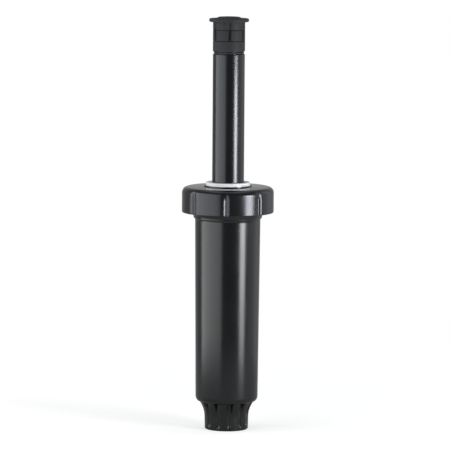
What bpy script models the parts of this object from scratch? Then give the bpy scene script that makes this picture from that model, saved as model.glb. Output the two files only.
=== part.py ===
"""Pop-up spray sprinkler, shown popped up: a tapered case with a female threaded inlet, a lobed screw
cap, a sliding riser with its seal, spring and ratchet, and an adjustable spray nozzle.
Metres, +Z up. The origin is the middle of the inlet's bottom face and the front faces -Y."""

import math

import bmesh
import bpy
from mathutils import Matrix, Vector

MM = 0.001

# Clearances
SEAT_GAP = 0.3 * MM
RUNNING_CLEARANCE = 0.25 * MM
SEAL_CLEARANCE = 0.15 * MM
SPRING_CLEARANCE = 0.35 * MM
RATCHET_CLEARANCE = 0.5 * MM
FLOOR_CLEARANCE = 3.6 * MM
THREAD_CLEARANCE = 0.3 * MM
THREAD_ROOT_BITE = 0.3 * MM
WELD_DISTANCE = 0.002 * MM

# Stroke and riser
POP_UP = 99.2 * MM
RISER_RADIUS = 9.9 * MM
RISER_WALL = 2.0 * MM
RISER_FLANGE_THICKNESS = 1.6 * MM
RISER_NECK_WALL = 1.8 * MM
RISER_TOP_SHELF = 2.4 * MM
HUB_STEP = 0.9 * MM
HUB_TOOTH_HEIGHT = 0.5 * MM
HUB_TEETH = 36

# Ratchet, clip, washer and spring
CLIP_HEIGHT = 1.8 * MM
CLIP_OVERLAP = 1.2 * MM
RATCHET_HEIGHT = 3.6 * MM
PAWL_COUNT = 4
PAWL_WIDTH = 1.6 * MM
WASHER_THICKNESS = 0.8 * MM
SPRING_LENGTH = 14.8 * MM
SPRING_WIRE = 1.0 * MM
SPRING_COILS = 9
SPRING_POINTS_PER_COIL = 16

# Wiper seal, its carrier and the guide ring
SEAL_WIDTH = 2.5 * MM
SEAL_HEIGHT = 5.0 * MM
SEAL_GROOVE_DEPTH = 2.6 * MM
SEAL_LIP = 0.8 * MM
CARRIER_WALL = 1.0 * MM
CARRIER_LIP = 1.2 * MM
CARRIER_THICKNESS = 1.6 * MM
GASKET_THICKNESS = 1.0 * MM
GUIDE_WIDTH = 3.5 * MM
GUIDE_FLANGE_WIDTH = 2.6 * MM
GUIDE_FLANGE_THICKNESS = 0.8 * MM
GUIDE_PROUD = 1.6 * MM
GUIDE_EDGE = 0.5 * MM

# Case
CASE_WALL = 2.1 * MM
CASE_TAPER = 0.9 * MM
CASE_RIB_HEIGHT = 1.4 * MM
CASE_RIB_WIDTH = 2.4 * MM
CASE_RIB_COUNT = 4
CASE_FLOOR = 2.0 * MM
CASE_CORNER_HEIGHT = 3.4 * MM
CASE_CORNER_WIDTH = 2.2 * MM
INLET_HEIGHT = 7.5 * MM
INLET_WALL = 3.05 * MM
INLET_DRAFT = 0.2 * MM
INLET_EDGE = 0.5 * MM
INLET_THREAD_RADIUS = 10.4 * MM
INLET_THREAD_DEPTH = 1.1 * MM
INLET_PITCH = 1.814 * MM
INLET_THREAD_ROOT = 1.45 * MM
INLET_THREAD_CREST = 0.36 * MM
INLET_DEPTH = 13.6 * MM
INLET_PASSAGE_RADIUS = 8.0 * MM
FLARE_HEIGHT = 10.1 * MM
FLUTE_COUNT = 12
FLUTE_DEPTH = 0.8 * MM
FLUTE_TURN = math.radians(-82.0)
FLUTE_RIM = 1.8 * MM

# Thread neck of the case and the cap
NECK_STEP = 3.1 * MM
NECK_WALL = 2.8 * MM
NECK_SHOULDER_HEIGHT = 5.4 * MM
NECK_SHOULDER_STEP = 1.2 * MM
NECK_COVE_HEIGHT = 2.7 * MM
NECK_BAND_HEIGHT = 1.1 * MM
NECK_ENTRY = 0.6 * MM
CAP_PITCH = 4.0 * MM
CAP_THREAD_HEIGHT = 1.2 * MM
CAP_THREAD_ROOT = 1.7 * MM
CAP_THREAD_CREST = 0.9 * MM
CAP_HEIGHT = 15.2 * MM
CAP_WALL = 3.7 * MM
CAP_TOP = 1.6 * MM
CAP_FILLET = 3.0 * MM
CAP_EDGE = 0.6 * MM
CAP_COLLAR_RISE = 2.0 * MM
CAP_COLLAR_WALL = 1.0 * MM
CAP_LOBES = 8
CAP_LOBE_TURN = math.radians(-92.5)
CAP_NOTCH_DEPTH = 1.7 * MM
CAP_NOTCH_HALF_WIDTH = 3.2 * MM
CAP_NOTCH_FADE = 2.2 * MM

# Nozzle
NOZZLE_RADIUS = 9.95 * MM
NOZZLE_SEAL_THICKNESS = 1.0 * MM
NOZZLE_SEAL_INSET = 0.5 * MM
SKIRT_HEIGHT = 6.4 * MM
SKIRT_WALL = 1.75 * MM
WEB_THICKNESS = 1.4 * MM
STEM_WALL = 1.05 * MM
PORT_RADIUS = 0.8 * MM
PORT_COUNT = 6
COLLAR_HEIGHT = 6.5 * MM
COLLAR_WALL = 2.55 * MM
GRIP_SLOTS = 6
GRIP_SLOT_TURN = math.radians(-88.0)
GRIP_SLOT_WIDTH = 1.9 * MM
COLLAR_SLOT_DEPTH = 1.2 * MM
DEFLECTOR_SLOT_DEPTH = 0.7 * MM
COLLAR_RING_THICKNESS = 0.9 * MM
DEFLECTOR_DROP = 4.8 * MM
DEFLECTOR_WALL = 1.2 * MM
FLANGE_OVERHANG = 2.35 * MM
FLANGE_THICKNESS = 2.0 * MM
FLANGE_EDGE = 0.5 * MM
BOSS_RISE = 1.0 * MM
BOSS_RADIUS = 8.6 * MM
BOSS_SLOPE = 2.2 * MM

# Filter and flow screw
FILTER_LENGTH = 24.0 * MM
FILTER_WALL = 0.8 * MM
FILTER_WINDOW_WIDTH = 2.0 * MM
FILTER_WINDOW_MARGIN = 2.6 * MM
FILTER_WINDOWS = 8
SCREW_RADIUS = 1.5 * MM
SCREW_HEAD_STEP = 1.1 * MM
SCREW_HEAD_HEIGHT = 1.2 * MM
SCREW_SLOT_WIDTH = 0.9 * MM
SCREW_SLOT_DEPTH = 0.6 * MM
SCREW_TRAVEL = 2.4 * MM
SCREW_REACH = 10.5 * MM
SCREW_SEAL_THICKNESS = 0.8 * MM

# Facets of round pieces
CASE_STEPS = 48
ROUND_STEPS = 36
SMALL_STEPS = 24
RING_SIDES = 6
CAP_STEPS = 80
FILLET_STEPS = 4
PORT_SIDES = 8
SHADE_ANGLE = math.radians(35.0)

# Run-out of the threads: how much of a turn it takes and the height it starts from
THREAD_FADE_TURNS = 0.125
THREAD_END_SHARE = 0.05

# Heights, worked up from the inlet's bottom face to the rim
FLARE_TOP = INLET_HEIGHT + FLARE_HEIGHT
CORNER_TOP = FLARE_TOP + CASE_CORNER_HEIGHT
FLOOR_Z = FLARE_TOP + CASE_FLOOR
BASE_Z = FLOOR_Z + FLOOR_CLEARANCE + POP_UP
CLIP_TOP = BASE_Z + CLIP_HEIGHT
RATCHET_Z = CLIP_TOP + SEAT_GAP
RATCHET_TOP = RATCHET_Z + RATCHET_HEIGHT
RISER_FLANGE_Z = RATCHET_TOP + SEAT_GAP
RISER_FLANGE_TOP = RISER_FLANGE_Z + RISER_FLANGE_THICKNESS
WASHER_Z = RISER_FLANGE_TOP + SEAT_GAP
SPRING_Z = WASHER_Z + WASHER_THICKNESS + SEAT_GAP
CARRIER_Z = SPRING_Z + SPRING_LENGTH + SEAT_GAP
CARRIER_TOP = CARRIER_Z + CARRIER_THICKNESS
RIM_Z = CARRIER_Z - 2.0 * SEAT_GAP - GASKET_THICKNESS
GUIDE_Z = CARRIER_TOP + SEAT_GAP
CAP_CEILING = GUIDE_Z + GUIDE_FLANGE_THICKNESS + SEAT_GAP
CAP_TOP_Z = CAP_CEILING + CAP_TOP
CAP_COLLAR_TOP = CAP_TOP_Z + CAP_COLLAR_RISE
GUIDE_TOP = CAP_COLLAR_TOP + GUIDE_PROUD
CAP_BOTTOM = CAP_TOP_Z - CAP_HEIGHT
BARREL_TOP = CAP_BOTTOM - NECK_SHOULDER_HEIGHT
CAP_THREAD_START = CAP_BOTTOM + NECK_SHOULDER_STEP + CAP_THREAD_ROOT / 2.0

# Heights of the nozzle, which lands on the guide ring when the riser is down
FLANGE_Z = GUIDE_TOP + SEAT_GAP + POP_UP
FLANGE_TOP = FLANGE_Z + FLANGE_THICKNESS
BOSS_TOP = FLANGE_TOP + BOSS_RISE
DEFLECTOR_Z = FLANGE_Z - DEFLECTOR_DROP
COLLAR_TOP = DEFLECTOR_Z - SEAT_GAP
COLLAR_Z = COLLAR_TOP - COLLAR_HEIGHT
SKIRT_TOP = COLLAR_Z - SEAT_GAP
SKIRT_Z = SKIRT_TOP - SKIRT_HEIGHT
NOZZLE_SEAL_Z = SKIRT_Z - SEAT_GAP - NOZZLE_SEAL_THICKNESS
RISER_SHOULDER = NOZZLE_SEAL_Z - SEAT_GAP
WEB_Z = SKIRT_TOP - WEB_THICKNESS
FILTER_TOP = WEB_Z - SEAT_GAP
FILTER_FLANGE_Z = FILTER_TOP - FILTER_WALL
RISER_TOP = FILTER_FLANGE_Z - SEAT_GAP
SCREW_HEAD_TOP = BOSS_TOP - SEAT_GAP
SCREW_HEAD_Z = SCREW_HEAD_TOP - SCREW_HEAD_HEIGHT
SCREW_SEAL_TOP = SCREW_HEAD_Z - SEAT_GAP
SCREW_SEAL_Z = SCREW_SEAL_TOP - SCREW_SEAL_THICKNESS
SCREW_POCKET_Z = SCREW_SEAL_Z - SCREW_TRAVEL - SEAT_GAP
STEM_SOCKET_TOP = SCREW_POCKET_Z - DEFLECTOR_WALL
STEM_TOP = STEM_SOCKET_TOP - SEAT_GAP

# Radii, worked outwards from the riser
RISER_BORE = RISER_RADIUS - RISER_WALL
SLIDE_RADIUS = max(RISER_RADIUS, NOZZLE_RADIUS)
GUIDE_BORE = SLIDE_RADIUS + RUNNING_CLEARANCE
GUIDE_RADIUS = GUIDE_BORE + GUIDE_WIDTH
GUIDE_FLANGE_RADIUS = GUIDE_RADIUS + GUIDE_FLANGE_WIDTH
SEAL_BORE = SLIDE_RADIUS + SEAL_CLEARANCE
SEAL_RADIUS = SEAL_BORE + SEAL_WIDTH
CARRIER_BORE = SLIDE_RADIUS + SPRING_CLEARANCE
CUP_BORE = SEAL_RADIUS + SEAT_GAP
CUP_RADIUS = CUP_BORE + CARRIER_WALL
SPRING_FLAT_SHARE = math.cos(math.pi / SPRING_POINTS_PER_COIL)
SPRING_RADIUS = (CUP_RADIUS + SPRING_CLEARANCE + SPRING_WIRE / 2.0) / SPRING_FLAT_SHARE
RIB_RADIUS = SPRING_RADIUS + SPRING_WIRE / 2.0 + SPRING_CLEARANCE
RISER_FLANGE_RADIUS = RIB_RADIUS - SEAT_GAP
CASE_BORE_BOTTOM = RIB_RADIUS + CASE_RIB_HEIGHT
CASE_BORE_TOP = CASE_BORE_BOTTOM + CASE_TAPER
CASE_BOTTOM_RADIUS = CASE_BORE_BOTTOM + CASE_WALL
CASE_TOP_RADIUS = CASE_BORE_TOP + CASE_WALL
FLARE_RADIUS = CASE_BOTTOM_RADIUS - CASE_CORNER_WIDTH
INLET_RADIUS = INLET_THREAD_RADIUS + INLET_WALL
HUB_RADIUS = RISER_RADIUS + HUB_STEP + HUB_TOOTH_HEIGHT
PAWL_RADIUS = HUB_RADIUS + SEAT_GAP
RATCHET_BORE = PAWL_RADIUS + SEAT_GAP
RATCHET_RADIUS = CASE_BORE_BOTTOM - RATCHET_CLEARANCE
CLIP_RADIUS = RATCHET_BORE + CLIP_OVERLAP
NECK_RADIUS = CASE_TOP_RADIUS + NECK_STEP
NECK_BORE = NECK_RADIUS - NECK_WALL
CAP_THREAD_RADIUS = NECK_RADIUS + CAP_THREAD_HEIGHT
CAP_BORE = CAP_THREAD_RADIUS + THREAD_CLEARANCE
CAP_RADIUS = CAP_BORE + CAP_WALL
CAP_MOUTH = GUIDE_RADIUS + SEAT_GAP
CARRIER_FLANGE_RADIUS = NECK_RADIUS - SEAT_GAP
RISER_NECK_RADIUS = NOZZLE_RADIUS - SKIRT_WALL - SEAT_GAP
RISER_NECK_BORE = RISER_NECK_RADIUS - RISER_NECK_WALL
FILTER_RADIUS = RISER_NECK_BORE - SEAT_GAP
FILTER_BORE = FILTER_RADIUS - FILTER_WALL
COLLAR_BORE = NOZZLE_RADIUS - COLLAR_WALL
SCREW_HOLE = SCREW_RADIUS + SEAT_GAP
STEM_RADIUS = SCREW_HOLE + STEM_WALL
SCREW_HEAD_RADIUS = SCREW_RADIUS + SCREW_HEAD_STEP
SCREW_POCKET_RADIUS = SCREW_HEAD_RADIUS + SEAT_GAP


def clear_scene():
    for old in list(bpy.data.objects):
        bpy.data.objects.remove(old, do_unlink=True)


def plastic(name, colour, roughness, metallic=0.0):
    """One Principled material with the piece's colour and finish."""
    material = bpy.data.materials.new(name)
    material.use_nodes = True
    shader = material.node_tree.nodes["Principled BSDF"]
    shader.inputs["Base Color"].default_value = (*colour, 1.0)
    shader.inputs["Roughness"].default_value = roughness
    shader.inputs["Metallic"].default_value = metallic
    return material


def add_object(name, bm, material=None):
    """Turn a bmesh into a smooth-shaded object of that name."""
    bmesh.ops.remove_doubles(bm, verts=bm.verts, dist=WELD_DISTANCE)
    bmesh.ops.recalc_face_normals(bm, faces=bm.faces)
    mesh = bpy.data.meshes.new(name)
    bm.to_mesh(mesh)
    bm.free()
    mesh.shade_smooth()
    mesh.set_sharp_from_angle(angle=SHADE_ANGLE)
    if material:
        mesh.materials.append(material)
    piece = bpy.data.objects.new(name, mesh)
    bpy.context.collection.objects.link(piece)
    return piece


def arc(centre_r, centre_z, radius, start_deg, end_deg, steps=FILLET_STEPS):
    """Points of a round stretch in a turned profile."""
    points = []
    for i in range(steps + 1):
        angle = math.radians(start_deg + (end_deg - start_deg) * i / steps)
        points.append((centre_r + radius * math.cos(angle), centre_z + radius * math.sin(angle)))
    return points


def turned_mesh(profile, steps, turn=0.0):
    """Spin a closed profile of (radius, height) points about the Z axis."""
    bm = bmesh.new()
    loop = [bm.verts.new((r * math.cos(turn), r * math.sin(turn), z)) for r, z in profile]
    edges = [bm.edges.new((a, b)) for a, b in zip(loop, loop[1:] + loop[:1])]
    bmesh.ops.spin(bm, geom=loop + edges, cent=(0, 0, 0), axis=(0, 0, 1), dvec=(0, 0, 0),
                   angle=math.tau, steps=steps, use_merge=True)
    return bm


def turned(name, profile, material, steps=ROUND_STEPS, turn=0.0):
    return add_object(name, turned_mesh(profile, steps, turn), material)


def tube_profile(inner, outer, bottom, top):
    """Profile of a plain ring or washer."""
    return [(inner, bottom), (outer, bottom), (outer, top), (inner, top)]


def round_ring(name, inner, thickness, bottom, material, steps=SMALL_STEPS):
    """Ring of round section, such as an O-ring."""
    half = thickness / 2.0
    section = arc(inner + half, bottom + half, half, 0.0, 360.0, RING_SIDES)[:-1]
    return turned(name, section, material, steps)


def add_box(bm, size, place):
    """Box of that size, moved by the place matrix."""
    scale = Matrix.Diagonal((*size, 1.0))
    bmesh.ops.create_cube(bm, size=1.0, matrix=place @ scale)


def radial_boxes(name, count, turn, width, inner, outer, bottom, top):
    """Boxes set round the axis, used to cut slots or to add ribs."""
    bm = bmesh.new()
    size = (outer - inner, width, top - bottom)
    middle = Vector(((inner + outer) / 2.0, 0.0, (bottom + top) / 2.0))
    for i in range(count):
        spin = Matrix.Rotation(turn + math.tau * i / count, 4, "Z")
        add_box(bm, size, spin @ Matrix.Translation(middle))
    return add_object(name, bm)


def combine(piece, tool, operation):
    """Cut a piece with a tool, or join the tool to it."""
    tool.hide_render = True
    tool.display_type = "WIRE"
    modifier = piece.modifiers.new(tool.name, "BOOLEAN")
    modifier.operation = operation
    modifier.solver = "EXACT"
    modifier.object = tool


def helical_ridge(name, root, crest, root_width, crest_width, pitch, turns, start_z, steps, start_turn=0.0):
    """Right-hand thread ridge, its ends fading into the wall that it stands on."""
    bm = bmesh.new()
    count = round(turns * steps)
    fade = steps * THREAD_FADE_TURNS
    rows = []
    for i in range(count + 1):
        share = min(1.0, max(THREAD_END_SHARE, min(i, count - i) / fade))
        tip = root + (crest - root) * share
        angle = start_turn + math.tau * i / steps
        middle = start_z + pitch * i / steps
        row = []
        for radius, offset in (
            (root, -root_width / 2.0),
            (tip, -crest_width / 2.0),
            (tip, crest_width / 2.0),
            (root, root_width / 2.0),
        ):
            row.append(bm.verts.new((radius * math.cos(angle), radius * math.sin(angle), middle + offset)))
        rows.append(row)
    for near, far in zip(rows, rows[1:]):
        for k in range(4):
            bm.faces.new((near[k], near[(k + 1) % 4], far[(k + 1) % 4], far[k]))
    bm.faces.new(rows[0])
    bm.faces.new(reversed(rows[-1]))
    return add_object(name, bm)


def case_outline():
    """Outer side of the case from the inlet's foot up to the rim."""
    reach = FLARE_RADIUS - INLET_RADIUS - INLET_DRAFT
    bend = (FLARE_HEIGHT ** 2 + reach ** 2) / (2.0 * reach)
    sweep = math.degrees(math.asin(FLARE_HEIGHT / bend))
    flare = arc(INLET_RADIUS + INLET_DRAFT + bend, INLET_HEIGHT, bend, 180.0, 180.0 - sweep)
    corner = []
    for i in range(FILLET_STEPS + 1):
        angle = math.pi / 2.0 * i / FILLET_STEPS
        corner.append((
            CASE_BOTTOM_RADIUS - CASE_CORNER_WIDTH * (1.0 - math.sin(angle)),
            FLARE_TOP + CASE_CORNER_HEIGHT * (1.0 - math.cos(angle)),
        ))
    cove = []
    for i in range(FILLET_STEPS + 1):
        angle = math.pi / 2.0 * i / FILLET_STEPS
        cove.append((
            CASE_TOP_RADIUS + NECK_SHOULDER_STEP * (1.0 - math.cos(angle)),
            BARREL_TOP + NECK_COVE_HEIGHT * math.sin(angle),
        ))
    return (
        [(INLET_RADIUS - INLET_EDGE, 0.0), (INLET_RADIUS, INLET_EDGE), (INLET_RADIUS, FLUTE_RIM)]
        + flare
        + corner[1:]
        + cove
        + [
            (cove[-1][0], cove[-1][1] + NECK_BAND_HEIGHT),
            (NECK_RADIUS, CAP_BOTTOM + NECK_ENTRY),
            (NECK_RADIUS, RIM_Z),
        ]
    )


def case_bore():
    """Inner side of the case from the rim down to the inlet's mouth."""
    step_z = CAP_BOTTOM + NECK_STEP
    mouth = INLET_THREAD_RADIUS + INLET_EDGE
    return [
        (NECK_BORE, RIM_Z),
        (NECK_BORE, step_z),
        (CASE_BORE_TOP, step_z - NECK_STEP / 2.0),
        (CASE_BORE_TOP, BARREL_TOP),
        (CASE_BORE_BOTTOM, CORNER_TOP),
        (CASE_BORE_BOTTOM - CASE_CORNER_WIDTH / 2.0, FLOOR_Z),
        (INLET_PASSAGE_RADIUS, FLOOR_Z),
        (INLET_PASSAGE_RADIUS, INLET_DEPTH),
        (INLET_THREAD_RADIUS, INLET_DEPTH),
        (INLET_THREAD_RADIUS, INLET_EDGE),
        (mouth, 0.0),
    ]


def flute_inlet(bm):
    """Press vertical flutes into the inlet neck, one in every group of columns."""
    pitch = math.tau / FLUTE_COUNT
    for vert in bm.verts:
        radius = math.hypot(vert.co.x, vert.co.y)
        if radius < INLET_THREAD_RADIUS + 2.0 * INLET_EDGE or vert.co.z >= FLARE_TOP - SEAT_GAP:
            continue
        if vert.co.z <= FLUTE_RIM + SEAT_GAP:
            continue
        off = (math.atan2(vert.co.y, vert.co.x) - FLUTE_TURN) % pitch
        if min(off, pitch - off) < math.pi / CASE_STEPS / 2.0:
            floor = INLET_RADIUS - FLUTE_DEPTH
            vert.co.x *= floor / radius
            vert.co.y *= floor / radius


def make_case(material):
    bm = turned_mesh(case_outline() + case_bore(), CASE_STEPS, FLUTE_TURN)
    bmesh.ops.remove_doubles(bm, verts=bm.verts, dist=WELD_DISTANCE)
    flute_inlet(bm)
    case = add_object("body_case", bm, material)
    ribs = radial_boxes("case_ribs", CASE_RIB_COUNT, math.pi / 4.0, CASE_RIB_WIDTH, RIB_RADIUS,
                        CASE_BORE_TOP + CASE_WALL / 3.0, CORNER_TOP + CASE_FLOOR, BARREL_TOP)
    combine(case, ribs, "UNION")
    thread_high = RIM_Z - CAP_THREAD_ROOT / 2.0 - SEAT_GAP
    outer_thread = helical_ridge(
        "case_outer_thread", NECK_RADIUS - THREAD_ROOT_BITE, CAP_THREAD_RADIUS, CAP_THREAD_ROOT,
        CAP_THREAD_CREST, CAP_PITCH, (thread_high - CAP_THREAD_START) / CAP_PITCH, CAP_THREAD_START,
        CASE_STEPS)
    combine(case, outer_thread, "UNION")
    inlet_low = INLET_EDGE + INLET_PITCH
    inlet_high = INLET_DEPTH - INLET_PITCH
    inlet_thread = helical_ridge(
        "case_inlet_thread", INLET_THREAD_RADIUS + THREAD_ROOT_BITE,
        INLET_THREAD_RADIUS - INLET_THREAD_DEPTH, INLET_THREAD_ROOT, INLET_THREAD_CREST, INLET_PITCH,
        (inlet_high - inlet_low) / INLET_PITCH, inlet_low, SMALL_STEPS)
    combine(case, inlet_thread, "UNION")
    return case


def make_gasket(material):
    profile = tube_profile(NECK_BORE + SEAT_GAP, CARRIER_FLANGE_RADIUS, RIM_Z + SEAT_GAP,
                           RIM_Z + SEAT_GAP + GASKET_THICKNESS)
    return turned("cap_gasket", profile, material)


def notch_depth(angle):
    """How far the cap's side is drawn in at an angle: two round-ended lobes meeting in a valley."""
    pitch = math.tau / CAP_LOBES
    off = (angle - CAP_LOBE_TURN) % pitch
    across = min(off, pitch - off) * CAP_RADIUS
    inside = max(0.0, 1.0 - across / CAP_NOTCH_HALF_WIDTH)
    return CAP_NOTCH_DEPTH * (1.0 - math.sqrt(1.0 - inside ** 2))


def make_cap(material):
    """Cap with a grip of round-ended lobes, a threaded bore and a raised collar round its mouth."""
    fillet = arc(CAP_RADIUS - CAP_FILLET, CAP_TOP_Z - CAP_FILLET, CAP_FILLET, 0.0, 90.0)
    lobes_top = CAP_TOP_Z - CAP_FILLET - CAP_NOTCH_FADE
    step = GUIDE_FLANGE_RADIUS + SEAT_GAP
    profile = (
        [(CAP_BORE, CAP_BOTTOM), (CAP_RADIUS - CAP_EDGE, CAP_BOTTOM), (CAP_RADIUS, CAP_BOTTOM + CAP_EDGE),
         (CAP_RADIUS, lobes_top)]
        + fillet
        + [
            (CAP_MOUTH + CAP_COLLAR_WALL, CAP_TOP_Z),
            (CAP_MOUTH + CAP_COLLAR_WALL, CAP_COLLAR_TOP),
            (CAP_MOUTH, CAP_COLLAR_TOP),
            (CAP_MOUTH, CAP_CEILING),
            (step, CAP_CEILING),
            (step, CARRIER_TOP + SEAT_GAP),
            (CAP_BORE, CARRIER_TOP + SEAT_GAP),
        ]
    )
    bm = turned_mesh(profile, CAP_STEPS, CAP_LOBE_TURN)
    bmesh.ops.remove_doubles(bm, verts=bm.verts, dist=WELD_DISTANCE)
    for vert in bm.verts:
        radius = math.hypot(vert.co.x, vert.co.y)
        if radius > CAP_RADIUS - CAP_EDGE - SEAT_GAP and vert.co.z <= lobes_top + SEAT_GAP:
            drawn_in = 1.0 - notch_depth(math.atan2(vert.co.y, vert.co.x)) / radius
            vert.co.x *= drawn_in
            vert.co.y *= drawn_in
    cap = add_object("cap", bm, material)
    high = RIM_Z - CAP_THREAD_ROOT / 2.0 - SEAT_GAP
    thread = helical_ridge(
        "cap_thread", CAP_BORE + THREAD_ROOT_BITE, NECK_RADIUS + THREAD_CLEARANCE, CAP_THREAD_ROOT,
        CAP_THREAD_CREST, CAP_PITCH, (high - CAP_THREAD_START) / CAP_PITCH, CAP_THREAD_START, CASE_STEPS,
        start_turn=math.pi)
    combine(cap, thread, "UNION")
    return cap


def make_carrier(material):
    """Flanged cup: its rim is clamped under the cap, its underside seats the spring."""
    cup_floor = CARRIER_TOP - SEAL_HEIGHT - SEAT_GAP
    profile = [
        (CARRIER_BORE, cup_floor - CARRIER_LIP),
        (CUP_RADIUS, cup_floor - CARRIER_LIP),
        (CUP_RADIUS, CARRIER_Z),
        (CARRIER_FLANGE_RADIUS, CARRIER_Z),
        (CARRIER_FLANGE_RADIUS, CARRIER_TOP),
        (CUP_BORE, CARRIER_TOP),
        (CUP_BORE, cup_floor),
        (CARRIER_BORE, cup_floor),
    ]
    return turned("seal_carrier", profile, material)


def make_wiper_seal(material):
    """Rubber lip seal of U section, open towards the water below."""
    bottom = CARRIER_TOP - SEAL_HEIGHT
    groove = bottom + SEAL_GROOVE_DEPTH
    profile = [
        (SEAL_BORE, bottom),
        (SEAL_BORE + SEAL_LIP, bottom),
        (SEAL_BORE + SEAL_LIP, groove),
        (SEAL_RADIUS - SEAL_LIP, groove),
        (SEAL_RADIUS - SEAL_LIP, bottom),
        (SEAL_RADIUS, bottom),
        (SEAL_RADIUS, CARRIER_TOP),
        (SEAL_BORE, CARRIER_TOP),
    ]
    return turned("wiper_seal", profile, material)


def make_guide_ring(material):
    profile = [
        (GUIDE_BORE, GUIDE_Z),
        (GUIDE_FLANGE_RADIUS, GUIDE_Z),
        (GUIDE_FLANGE_RADIUS, GUIDE_Z + GUIDE_FLANGE_THICKNESS),
        (GUIDE_RADIUS, GUIDE_Z + GUIDE_FLANGE_THICKNESS),
        (GUIDE_RADIUS, GUIDE_TOP - GUIDE_EDGE),
        (GUIDE_RADIUS - GUIDE_EDGE, GUIDE_TOP),
        (GUIDE_BORE, GUIDE_TOP),
    ]
    return turned("guide_ring", profile, material)


def make_spring(material):
    """Round-wire compression spring, squeezed between the washer and the carrier."""
    half = SPRING_WIRE / 2.0
    rise = SPRING_LENGTH - SPRING_WIRE
    count = SPRING_COILS * SPRING_POINTS_PER_COIL
    points = []
    for i in range(count + 1):
        angle = math.tau * i / SPRING_POINTS_PER_COIL
        height = SPRING_Z + half + rise * i / count
        points.append(Vector((SPRING_RADIUS * math.cos(angle), SPRING_RADIUS * math.sin(angle), height)))
    gap = min(
        (a - b).length - SPRING_WIRE
        for i, a in enumerate(points)
        for b in points[i + SPRING_POINTS_PER_COIL // 2:]
    )
    print(f"retraction_spring: least gap between coils {gap / MM:.2f} mm")
    curve = bpy.data.curves.new("retraction_spring", "CURVE")
    curve.dimensions = "3D"
    curve.bevel_depth = half
    curve.bevel_resolution = 1
    curve.use_fill_caps = True
    spline = curve.splines.new("POLY")
    spline.points.add(count)
    for knot, point in zip(spline.points, points):
        knot.co = (*point, 1.0)
    curve.materials.append(material)
    spring = bpy.data.objects.new("retraction_spring", curve)
    bpy.context.collection.objects.link(spring)
    return spring


def make_washer(material):
    profile = tube_profile(RISER_RADIUS + SEAT_GAP, RISER_FLANGE_RADIUS, WASHER_Z,
                           WASHER_Z + WASHER_THICKNESS)
    return turned("spring_washer", profile, material)


def make_ratchet_ring(material):
    """Ring notched for the ribs in the case, with pawls just clear of the riser's teeth."""
    ring = turned("ratchet_ring", tube_profile(RATCHET_BORE, RATCHET_RADIUS, RATCHET_Z, RATCHET_TOP),
                  material)
    notches = radial_boxes("ratchet_notches", CASE_RIB_COUNT, math.pi / 4.0,
                           CASE_RIB_WIDTH + 2.0 * SEAT_GAP, RIB_RADIUS - SEAT_GAP, CASE_TOP_RADIUS,
                           RATCHET_Z - SEAT_GAP, RATCHET_TOP + SEAT_GAP)
    combine(ring, notches, "DIFFERENCE")
    pawls = radial_boxes("ratchet_pawls", PAWL_COUNT, 0.0, PAWL_WIDTH, PAWL_RADIUS,
                         (RATCHET_BORE + RATCHET_RADIUS) / 2.0, RATCHET_Z + SEAT_GAP, RATCHET_TOP - SEAT_GAP)
    combine(ring, pawls, "UNION")
    return ring


def make_clip(material):
    profile = tube_profile(RISER_RADIUS + SEAT_GAP, CLIP_RADIUS, BASE_Z, CLIP_TOP)
    return turned("ratchet_clip", profile, material)


def make_riser(material):
    """Tube with a spring flange and ratchet hub at its foot and a neck for the nozzle at its top."""
    profile = [
        (RISER_BORE, BASE_Z),
        (RISER_RADIUS, BASE_Z),
        (RISER_RADIUS, RISER_FLANGE_Z),
        (RISER_FLANGE_RADIUS, RISER_FLANGE_Z),
        (RISER_FLANGE_RADIUS, RISER_FLANGE_TOP),
        (RISER_RADIUS, RISER_FLANGE_TOP),
        (RISER_RADIUS, RISER_SHOULDER),
        (RISER_NECK_RADIUS, RISER_SHOULDER),
        (RISER_NECK_RADIUS, RISER_TOP),
        (RISER_NECK_BORE, RISER_TOP),
        (RISER_NECK_BORE, RISER_SHOULDER - RISER_TOP_SHELF),
        (RISER_BORE, RISER_SHOULDER - RISER_TOP_SHELF - RISER_WALL),
    ]
    riser = turned("riser_tube", profile, material)
    bm = bmesh.new()
    outline = []
    for i in range(2 * HUB_TEETH):
        radius = HUB_RADIUS - HUB_TOOTH_HEIGHT * (i % 2)
        angle = math.pi * i / HUB_TEETH
        outline.append(bm.verts.new((radius * math.cos(angle), radius * math.sin(angle), RATCHET_Z)))
    face = bm.faces.new(outline)
    lifted = bmesh.ops.extrude_face_region(bm, geom=[face])["geom"]
    rise = Vector((0.0, 0.0, RISER_FLANGE_Z - RATCHET_Z + RISER_FLANGE_THICKNESS / 2.0))
    bmesh.ops.translate(bm, vec=rise, verts=[v for v in lifted if isinstance(v, bmesh.types.BMVert)])
    hub = add_object("riser_hub", bm)
    bore = turned("riser_hub_bore", [
        (0.0, RATCHET_Z - CLIP_HEIGHT),
        (RISER_RADIUS - RISER_WALL / 2.0, RATCHET_Z - CLIP_HEIGHT),
        (RISER_RADIUS - RISER_WALL / 2.0, RISER_FLANGE_TOP + CLIP_HEIGHT),
        (0.0, RISER_FLANGE_TOP + CLIP_HEIGHT),
    ], None)
    combine(hub, bore, "DIFFERENCE")
    combine(riser, hub, "UNION")
    return riser


def make_nozzle_seal(material):
    profile = tube_profile(RISER_NECK_RADIUS + SEAT_GAP, RISER_RADIUS - NOZZLE_SEAL_INSET, NOZZLE_SEAL_Z,
                           NOZZLE_SEAL_Z + NOZZLE_SEAL_THICKNESS)
    return turned("nozzle_seal", profile, material)


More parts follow.
